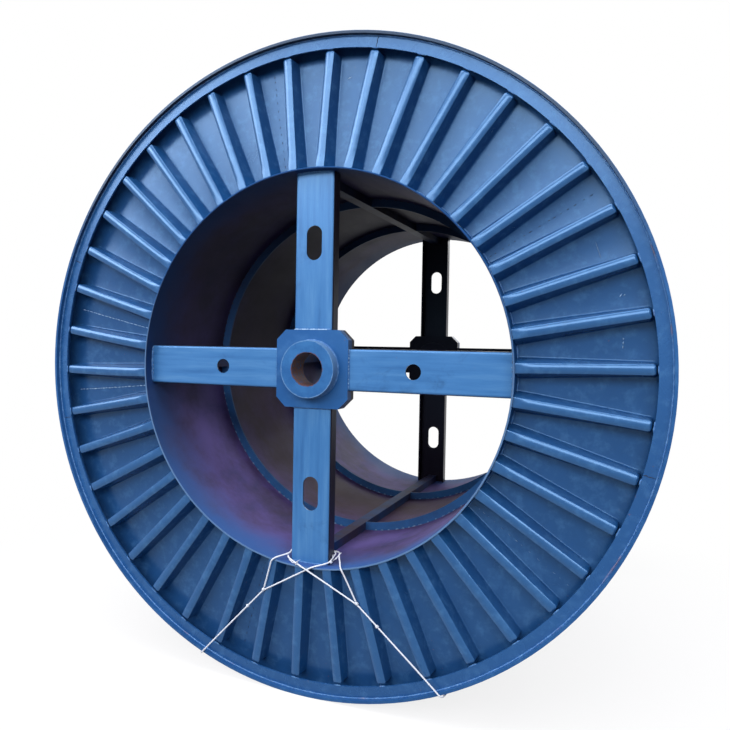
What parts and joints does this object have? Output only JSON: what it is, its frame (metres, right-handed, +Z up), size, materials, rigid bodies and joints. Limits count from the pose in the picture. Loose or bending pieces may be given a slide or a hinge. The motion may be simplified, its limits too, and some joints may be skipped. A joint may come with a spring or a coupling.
{
  "type": "steel cable drum",
  "caption": "Large welded steel cable drum lying on its rims: pressed flanges with radial ribs, a wide hollow barrel and a cross of channel arms with a bored hub at each end.",
  "frame": {"origin": "centre of the drum, on its axis midway between the two rims", "axes": "+Y along the axis towards the back end, +X to the right seen from the front end, +Z up"},
  "size_m": [2.5, 1.9773, 2.4996],
  "materials": {
    "flange_paint": "worn satin paint",
    "frame_paint": "worn satin paint",
    "barrel_paint": "worn satin paint",
    "twine": "twisted white twine"
  },
  "bodies": {
    "root": {"barrel_shell": "barrel_paint", "inner_hoop_1": "barrel_paint", "inner_hoop_2": "barrel_paint", "tie_bar_bottom": "barrel_paint", "tie_bar_right": "barrel_paint", "tie_bar_top": "barrel_paint", "tie_bar_left": "barrel_paint", "front_rim_hoop": "flange_paint", "front_rim_ring": "flange_paint", "front_flange_panel_1": "flange_paint", "front_flange_panel_2": "flange_paint", "front_flange_panel_3": "flange_paint", "front_flange_panel_4": "flange_paint", "front_flange_panel_5": "flange_paint", "front_flange_panel_6": "flange_paint", "front_arm_top": "frame_paint", "front_arm_bottom": "frame_paint", "front_arm_left": "frame_paint", "front_arm_right": "frame_paint", "front_hub_block": "frame_paint", "front_hub_tube": "frame_paint", "back_rim_hoop": "flange_paint", "back_rim_ring": "flange_paint", "back_flange_panel_1": "flange_paint", "back_flange_panel_2": "flange_paint", "back_flange_panel_3": "flange_paint", "back_flange_panel_4": "flange_paint", "back_flange_panel_5": "flange_paint", "back_flange_panel_6": "flange_paint", "back_arm_top": "frame_paint", "back_arm_bottom": "frame_paint", "back_arm_left": "frame_paint", "back_arm_right": "frame_paint", "back_hub_block": "frame_paint", "back_hub_tube": "frame_paint", "twine_left": "twine", "twine_right": "twine"}
  },
  "joints": []
}
